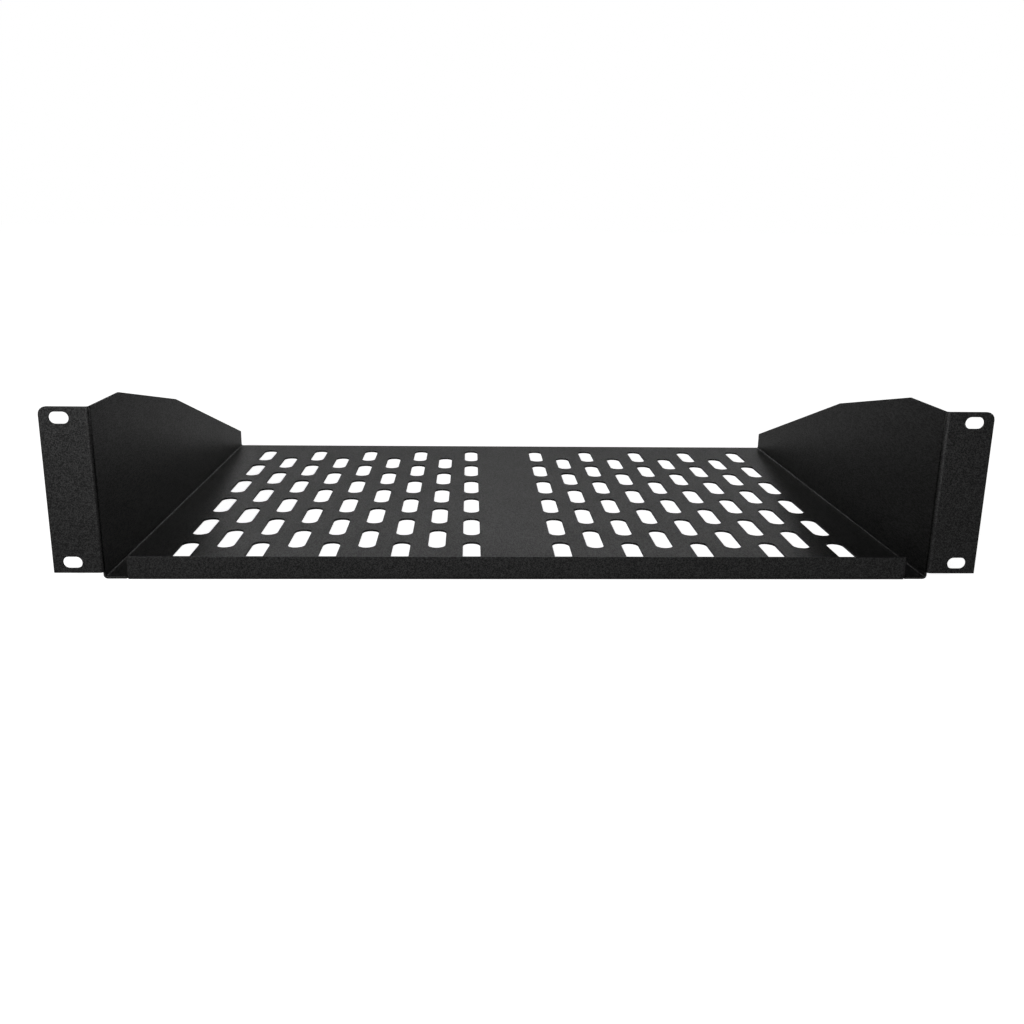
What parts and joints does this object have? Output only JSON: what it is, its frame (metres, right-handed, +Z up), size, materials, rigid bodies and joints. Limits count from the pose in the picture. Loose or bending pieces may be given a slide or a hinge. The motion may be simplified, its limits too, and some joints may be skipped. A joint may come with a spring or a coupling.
{
  "type": "vented rack shelf",
  "caption": "Two-unit cantilever rack shelf folded from one sheet, with slotted ears, a pierced floor, a low front lip and tapering side walls.",
  "frame": {"origin": "centre of the outer box, on the underside of the floor", "axes": "+X to the right along the width seen from the front, +Y from the front ears to the back edge, +Z up from the floor"},
  "size_m": [0.4852, 0.318, 0.0916],
  "materials": {
    "powder_coat": "black fine-texture powder coat on folded steel sheet"
  },
  "bodies": {
    "root": {"vented_shelf": "powder_coat"}
  },
  "joints": []
}
